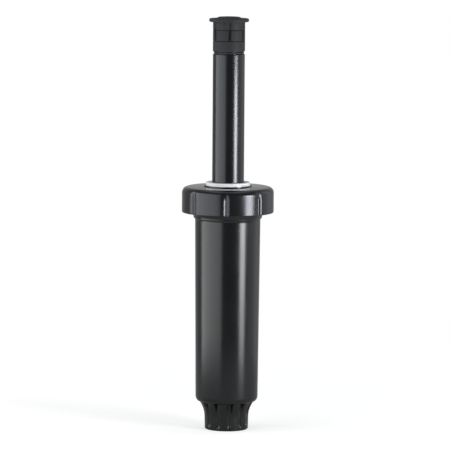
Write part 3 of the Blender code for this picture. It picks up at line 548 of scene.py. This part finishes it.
cap_bore = filled([(CAP_BORE, CAP_SEAT), (CAP_BORE, cap_low.z + 0.3 * MM)], 0.25 * MM)
cap = turned("cap_lid", filled(cap_outside[:-1], 0.6 * MM) + cap_bore[:-1], 320, LOBE_TURN)
shaped(cap, grooves, cap_finish, count=CAP_LOBES, turn=LOBE_TURN, floor_radius=CAP_RADIUS - NOTCH_DEPTH,
       half_width=NOTCH_HALF_WIDTH, widening=0.0, side=NOTCH_HALF_WIDTH, lobe=0.4,
       low=cap_low.z - 1.0 * MM, high=NOTCH_TOP, fade_low=0.5 * MM, fade_high=5.0 * MM,
       inner_radius=CAP_RADIUS - NOTCH_DEPTH, outer_radius=CAP_RADIUS + 1.0 * MM)
shaped(cap, threads, cap_finish, start=CAP_THREAD_START - CAP_PITCH / 2.0, pitch=CAP_PITCH,
       root_width=1.7 * MM, crest_width=0.7 * MM, height=-CAP_THREAD_HEIGHT,
       low=cap_low.z + 1.0 * MM, high=CAP_SEAT - 3.0 * MM, fade=1.0 * MM,
       inner_radius=CAP_BORE - 0.05 * MM, outer_radius=CAP_BORE + 0.05 * MM)
placed(cap, "screw_cap", "cap_black", "cap")

# Ratchet ring, washer and clip: small grey mouldings on the stem's foot. The ring is keyed to the case's
# ribs, the washer carries the spring, and the clip holds the ring on.
kept("ratchet_ring", grey_finish)
kept("spring_washer", grey_finish)
kept("ratchet_clip", grey_finish)

# Riser: the stem that pops up, a smooth black extruded tube with a spring flange and a toothed hub moulded
# on its foot and a narrower neck for the nozzle at its top. Sliding leaves fine upright marks on it.
riser_low, riser_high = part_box("riser_tube")
RISER_RADIUS = 9.9 * MM
RISER_BORE = 7.9 * MM
HUB_RADIUS = 11.3 * MM
HUB_VALLEY = 10.8 * MM
HUB_TEETH = 36
HUB_LOW = 124.5 * MM
FLANGE_LOW = 128.4 * MM
FLANGE_HIGH = 130.0 * MM
FLANGE_RADIUS = riser_high.x
SHOULDER = riser_high.z - 5.2 * MM
NECK = 7.9 * MM
NECK_INNER = 6.1 * MM
SHELF = 2.4 * MM

riser_finish = plastic("riser_black_plastic", (0.0045, 0.0048, 0.0055), (0.0078, 0.0082, 0.0090),
                       0.25, 0.3 * MM, 0.0012 * MM, marks=0.06, cast=BLUE_CAST)
riser_profile = rounded([
    (RISER_BORE, riser_low.z, 0.2 * MM),
    (RISER_RADIUS, riser_low.z, 0.3 * MM),
    (RISER_RADIUS, HUB_LOW, 0.0),
    (HUB_RADIUS, HUB_LOW, 0.0),
    (HUB_RADIUS, HUB_LOW + 0.2 * MM, 0.0),
    (HUB_RADIUS, FLANGE_LOW - 0.2 * MM, 0.0),
    (HUB_RADIUS, FLANGE_LOW, 0.0),
    (FLANGE_RADIUS, FLANGE_LOW, 0.3 * MM),
    (FLANGE_RADIUS, FLANGE_HIGH, 0.3 * MM),
    (RISER_RADIUS, FLANGE_HIGH, 0.0),
    (RISER_RADIUS, SHOULDER, 0.35 * MM),
    (NECK, SHOULDER, 0.0),
    (NECK, riser_high.z, 0.2 * MM),
    (NECK_INNER, riser_high.z, 0.2 * MM),
    (NECK_INNER, SHOULDER - SHELF, 0.0),
    (RISER_BORE, SHOULDER - SHELF - 2.0 * MM, 0.0),
])
riser = turned("riser_stem", riser_profile, 288)
shaped(riser, grooves, riser_finish, count=HUB_TEETH, turn=math.pi / HUB_TEETH, floor_radius=HUB_VALLEY,
       half_width=0.98 * MM, widening=0.0, side=0.98 * MM, lobe=0.0, low=HUB_LOW, high=FLANGE_LOW,
       fade_low=0.1 * MM, fade_high=0.1 * MM, inner_radius=HUB_VALLEY, outer_radius=HUB_RADIUS + 0.1 * MM)
placed(riser, "riser", "riser_black", "riser_tube")

# Nozzle seal: a flat rubber ring in the groove between the stem's shoulder and the nozzle's skirt.
seal_low, seal_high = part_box("nozzle_seal")
nozzle_seal = turned("nozzle_gasket", rounded([
    (NECK + 0.3 * MM, seal_low.z, 0.2 * MM),
    (seal_high.x, seal_low.z, 0.3 * MM),
    (seal_high.x, seal_high.z, 0.3 * MM),
    (NECK + 0.3 * MM, seal_high.z, 0.2 * MM),
]))
nozzle_seal.data.materials.append(rubber_finish)
placed(nozzle_seal, "riser", "rubber", "nozzle_seal")

# Nozzle base: the matt black skirt screwed over the stem's neck, with a ported web for the water and a
# stem in its middle that carries the head.
base_low, base_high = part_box("nozzle_base")
NOZZLE_RADIUS = base_high.x
SKIRT_TOP = base_low.z + 6.4 * MM
WEB_LOW = SKIRT_TOP - 1.4 * MM
STEM_RADIUS = 2.85 * MM
STEM_BORE = 1.8 * MM
PORTS = 6
PORT_RING = 3.925 * MM
PORT_RADIUS = 0.85 * MM


def hole_tree():
    """A ring of round holes cut through a flat web."""
    tree, given = blank_tree("ring_of_holes", ("Count", "Ring Radius", "Hole Radius", "Height", "Depth"))
    ring = given["Mesh"].node("GeometryNodeMeshCircle", inputs={
        "Vertices": given["Count"], "Radius": given["Ring Radius"]})
    pin = ring.node("GeometryNodeMeshCylinder", inputs={
        "Vertices": 32, "Radius": given["Hole Radius"], "Depth": given["Depth"]})
    pins = ring.node("GeometryNodeInstanceOnPoints", inputs={"Points": ring, "Instance": pin})
    lift = ring.node("ShaderNodeCombineXYZ", inputs={2: given["Height"]})
    real = ring.node("GeometryNodeRealizeInstances", inputs={"Geometry": pins})
    raised = ring.node("GeometryNodeSetPosition", inputs={"Geometry": real, "Offset": lift})
    cut = ring.node("GeometryNodeMeshBoolean", {"operation": "DIFFERENCE"}, {0: given["Mesh"], 1: raised})
    close_tree(tree, cut, given)
    return tree


nozzle_finish = plastic("nozzle_black_plastic", (0.0270, 0.0275, 0.0292), (0.0350, 0.0356, 0.0376),
                        0.55, 0.28 * MM, 0.05 * MM, shine=0.12, cast=BLUE_CAST)
nozzle_base = turned("nozzle_skirt", rounded([
    (NECK + 0.3 * MM, base_low.z, 0.2 * MM),
    (NOZZLE_RADIUS, base_low.z, 0.3 * MM),
    (NOZZLE_RADIUS, SKIRT_TOP, 0.06 * MM),
    (STEM_RADIUS, SKIRT_TOP, 0.0),
    (STEM_RADIUS, base_high.z, 0.2 * MM),
    (STEM_BORE, base_high.z, 0.1 * MM),
    (STEM_BORE, WEB_LOW, 0.1 * MM),
    (NECK + 0.3 * MM, WEB_LOW, 0.0),
]))
shaped(nozzle_base, hole_tree(), nozzle_finish, count=PORTS, ring_radius=PORT_RING, hole_radius=PORT_RADIUS,
       height=(WEB_LOW + SKIRT_TOP) / 2.0, depth=3.0 * MM)
placed(nozzle_base, "riser", "nozzle_black", "nozzle_base")

# Filter screen and collar ring: the grey basket strainer hung in the stem's neck under the nozzle, and the
# rubber ring that gives the arc collar its drag.
kept("filter_screen", grey_finish)
kept("collar_ring", rubber_finish)

# Arc collar: the matt black sleeve turned by finger to set the spray's arc, with six slots for grip.
collar_low, collar_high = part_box("arc_collar")
COLLAR_BORE = 7.4 * MM
POCKET_RADIUS = 9.0 * MM
POCKET_TOP = collar_low.z + 1.3 * MM
SLOTS = 6
SLOT_TURN = math.radians(-88.0)
SLOT_HALF_WIDTH = 1.2 * MM
COLLAR_SLOT_FLOOR = NOZZLE_RADIUS - 1.2 * MM

collar = turned("arc_sleeve_collar", rounded([
    (POCKET_RADIUS, collar_low.z, 0.0),
    (NOZZLE_RADIUS, collar_low.z, 0.06 * MM),
    (NOZZLE_RADIUS, collar_low.z + 0.4 * MM, 0.0),
    (NOZZLE_RADIUS, collar_low.z + 0.7 * MM, 0.0),
    (NOZZLE_RADIUS, collar_high.z, 0.06 * MM),
    (COLLAR_BORE, collar_high.z, 0.2 * MM),
    (COLLAR_BORE, POCKET_TOP, 0.0),
    (POCKET_RADIUS, POCKET_TOP, 0.0),
]), 360, SLOT_TURN)
shaped(collar, grooves, nozzle_finish, count=SLOTS, turn=SLOT_TURN, floor_radius=COLLAR_SLOT_FLOOR,
       half_width=SLOT_HALF_WIDTH, widening=0.0, side=0.3 * MM, lobe=0.0,
       low=collar_low.z + 0.3 * MM, high=collar_high.z + 1.0 * MM, fade_low=0.3 * MM, fade_high=0.3 * MM,
       inner_radius=COLLAR_SLOT_FLOOR + 0.3 * MM, outer_radius=NOZZLE_RADIUS + 0.1 * MM)
placed(collar, "arc_sleeve", "nozzle_black", "arc_collar")

# Deflector: the head of the nozzle, a matt black plug on the base's stem. Its flange turns the water
# outwards, and a low boss holds the flow screw's pocket.
head_low, head_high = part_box("deflector")
SPRAY_RADIUS = 12.3 * MM
SPRAY_HIGH = head_high.z - 1.0 * MM
SPRAY_LOW = SPRAY_HIGH - 2.0 * MM
BOSS_FOOT = 8.6 * MM
BOSS_TOP_RADIUS = 6.4 * MM
SCREW_POCKET = 2.9 * MM
SCREW_POCKET_FLOOR = head_high.z - 5.3 * MM
STEM_SOCKET = 3.15 * MM
STEM_SOCKET_TOP = head_high.z - 6.5 * MM
HEAD_SLOT_FLOOR = NOZZLE_RADIUS - 0.7 * MM

head = turned("deflector_head", rounded([
    (STEM_SOCKET, head_low.z, 0.1 * MM),
    (NOZZLE_RADIUS, head_low.z, 0.06 * MM),
    (NOZZLE_RADIUS, SPRAY_LOW - 0.7 * MM, 0.0),
    (NOZZLE_RADIUS, SPRAY_LOW - 0.3 * MM, 0.0),
    (NOZZLE_RADIUS, SPRAY_LOW, 0.2 * MM),
    (SPRAY_RADIUS, SPRAY_LOW, 0.5 * MM),
    (SPRAY_RADIUS, SPRAY_HIGH, 0.5 * MM),
    (BOSS_FOOT, SPRAY_HIGH, 0.3 * MM),
    (BOSS_TOP_RADIUS, head_high.z, 0.4 * MM),
    (SCREW_POCKET, head_high.z, 0.2 * MM),
    (SCREW_POCKET, SCREW_POCKET_FLOOR, 0.0),
    (STEM_BORE, SCREW_POCKET_FLOOR, 0.0),
    (STEM_BORE, STEM_SOCKET_TOP, 0.0),
    (STEM_SOCKET, STEM_SOCKET_TOP, 0.0),
]), 360, SLOT_TURN)
shaped(head, grooves, nozzle_finish, count=SLOTS, turn=SLOT_TURN, floor_radius=HEAD_SLOT_FLOOR,
       half_width=SLOT_HALF_WIDTH, widening=0.0, side=0.3 * MM, lobe=0.0,
       low=head_low.z - 1.0 * MM, high=SPRAY_LOW - 0.3 * MM, fade_low=0.3 * MM, fade_high=0.3 * MM,
       inner_radius=HEAD_SLOT_FLOOR, outer_radius=NOZZLE_RADIUS + 0.1 * MM)
placed(head, "riser", "nozzle_black", "deflector")

# Flow screw and its seal: a slotted stainless screw in the middle of the head that throttles the water, and
# the rubber ring under its head.
screw_low, screw_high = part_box("flow_screw")
SCREW_RADIUS = 1.5 * MM
SCREW_HEAD = 2.6 * MM
SCREW_HEAD_LOW = screw_high.z - 1.2 * MM
SCREW_SLOT_WIDTH = 0.8 * MM
SCREW_SLOT_DEPTH = 0.7 * MM

screw = turned("flow_screw_steel", rounded([
    (0.0, screw_low.z, 0.0),
    (SCREW_RADIUS / 2.0, screw_low.z, 0.15 * MM),
    (SCREW_RADIUS, screw_low.z + SCREW_RADIUS, 0.2 * MM),
    (SCREW_RADIUS, SCREW_HEAD_LOW, 0.0),
    (SCREW_HEAD, SCREW_HEAD_LOW, 0.1 * MM),
    (SCREW_HEAD, screw_high.z, 0.2 * MM),
    (0.0, screw_high.z, 0.0),
]), 96)
blade = bpy.data.meshes.new("screwdriver_blade")
slot_bm = bmesh.new()
slot_size = Matrix.Diagonal((4.0 * SCREW_HEAD, SCREW_SLOT_WIDTH, 2.0 * SCREW_SLOT_DEPTH, 1.0))
bmesh.ops.create_cube(slot_bm, size=1.0, matrix=Matrix.Translation((0.0, 0.0, screw_high.z)) @ slot_size)
slot_bm.to_mesh(blade)
slot_bm.free()
slot_tool = bpy.data.objects.new("screwdriver_blade", blade)
bpy.context.collection.objects.link(slot_tool)
slot_cut = screw.modifiers.new("slot", "BOOLEAN")
slot_cut.solver = "EXACT"
slot_cut.object = slot_tool
cut_graph = bpy.context.evaluated_depsgraph_get()
cut_mesh = bpy.data.meshes.new_from_object(screw.evaluated_get(cut_graph))
screw.modifiers.clear()
screw.data = cut_mesh
bpy.data.objects.remove(slot_tool)
screw.data.materials.clear()
screw.data.materials.append(steel_finish)
placed(screw, "adjusting_screw", "steel", "flow_screw")
kept("screw_seal", rubber_finish)

# Studio: a pale floor that glows white for the camera and keeps the shadow, a broad soft light at the left,
# a narrow strip and a weak fill at the right and a weak one above, in a dim room that the camera sees as
# white. The camera is far off and a little above the cap.
FLOOR_RADIUS = 0.25
FLOOR_GLOW = 0.60
FLOOR_RIM_GLOW = 0.67
COOL_WHITE = (0.97, 0.99, 1.0)
floor_bm = bmesh.new()
bmesh.ops.create_circle(floor_bm, cap_ends=True, segments=96, radius=FLOOR_RADIUS)
floor_mesh = bpy.data.meshes.new("floor")
floor_bm.to_mesh(floor_mesh)
floor_bm.free()
floor = bpy.data.objects.new("floor", floor_mesh)
bpy.context.collection.objects.link(floor)
floor_finish, floor_shader, floor_place = blank_finish("pale_floor")
seen = floor_place.node("ShaderNodeLightPath")
speckle = noise(floor_place, 30.0)
mixed(speckle, (0.48, 0.48, 0.48), (0.52, 0.52, 0.52)).into(floor_shader, "Base Color")
floor_shader.inputs["Roughness"].default_value = 0.9
floor_shader.inputs["Specular IOR Level"].default_value = 0.0
from_axis = floor_place.node("ShaderNodeVectorMath", {"operation": "LENGTH"}, {0: floor_place}, output=1)
outward = from_axis / FLOOR_RADIUS
glow = (FLOOR_GLOW + (FLOOR_RIM_GLOW - FLOOR_GLOW) * outward * outward) * seen
mixed(glow.clamped(), (0.0, 0.0, 0.0), (1.0, 1.0, 1.0)).into(floor_shader, "Emission Color")
floor_shader.inputs["Emission Strength"].default_value = 1.0
floor_mesh.materials.append(floor_finish)


def soft_light(name, bearing, distance, height, width, tall, radiance, aim_height, fall=0.0, sink=0.0):
    """Area light aimed at the axis. Bearing is in degrees from the front, right positive.

    Fall dims one side of it, and sink dims its foot.
    """
    light = bpy.data.lights.new(name, "AREA")
    light.shape = "RECTANGLE"
    light.size = width
    light.size_y = tall
    light.energy = radiance * math.pi * width * tall
    light.color = COOL_WHITE
    light.use_nodes = True
    glow = light.node_tree.nodes["Emission"]
    spot = Wire(light.node_tree.nodes.new("ShaderNodeNewGeometry").outputs["Parametric"])
    over, rise = spot.node("ShaderNodeSeparateXYZ", inputs={0: spot}, output="all")[:2]
    dimmed = over * fall + (1.0 - rise) * sink
    mixed(dimmed.clamped(), (1.0, 1.0, 1.0), (0.0, 0.0, 0.0)).into(glow, "Color")
    lamp = bpy.data.objects.new(name, light)
    angle = math.radians(bearing)
    lamp.location = (distance * math.sin(angle), -distance * math.cos(angle), height)
    aim = Vector((0.0, 0.0, aim_height)) - lamp.location
    lamp.rotation_euler = aim.to_track_quat("-Z", "Y").to_euler()
    bpy.context.collection.objects.link(lamp)
    return lamp


soft_light("left_softbox", -62.0, 0.62, 0.20, 1.10, 0.90, 3.6, 0.20, 0.55)
soft_light("right_strip", 54.0, 0.50, 0.0875, 0.165, 0.325, 31.0, 0.0875, sink=0.92)
soft_light("right_fill", 105.0, 0.60, 0.24, 0.60, 0.80, 0.8, 0.24, sink=0.6)
soft_light("overhead", 180.0, 0.10, 0.95, 0.70, 0.70, 0.9, 0.15)

world = bpy.data.worlds.new("studio")
bpy.context.scene.world = world
world.use_nodes = True
backdrop = world.node_tree.nodes["Background"]
bearing = Wire(world.node_tree.nodes.new("ShaderNodeTexCoord").outputs["Generated"])
across, away = bearing.node("ShaderNodeSeparateXYZ", inputs={0: bearing}, output="all")[:2]
behind = (away * 0.75 + across * 0.12 + 0.22).clamped()
room = 0.065 + behind * 0.40
camera_ray = bearing.node("ShaderNodeLightPath")
shade = (room + (1.0 - room) * camera_ray).clamped()
mixed(shade, (0.0, 0.0, 0.0), (1.0, 1.0, 1.0)).into(backdrop, "Color")
backdrop.inputs["Strength"].default_value = 1.0

FOCAL_PIXELS = 3900.0
PICTURE_PIXELS = 450.0
SENSOR = 36.0
PIXEL = 0.6216 * MM
ELEVATION = math.radians(6.4)
ROLL = math.radians(0.4)
TARGET = Vector((-1.68 * MM, 0.0, 127.75 * MM))
camera_data = bpy.data.cameras.new("camera")
camera_data.sensor_width = SENSOR
camera_data.lens = FOCAL_PIXELS * SENSOR / PICTURE_PIXELS
camera_data.clip_start = 0.05
camera_data.clip_end = 50.0
camera = bpy.data.objects.new("camera", camera_data)
back = Vector((0.0, -math.cos(ELEVATION), math.sin(ELEVATION)))
camera.location = TARGET + back * FOCAL_PIXELS * PIXEL
camera.rotation_mode = "QUATERNION"
camera.rotation_quaternion = (-back).to_track_quat("-Z", "Y") @ Quaternion((0.0, 0.0, 1.0), ROLL)
bpy.context.collection.objects.link(camera)
bpy.context.scene.camera = camera
bpy.context.scene.view_settings.view_transform = "Standard"
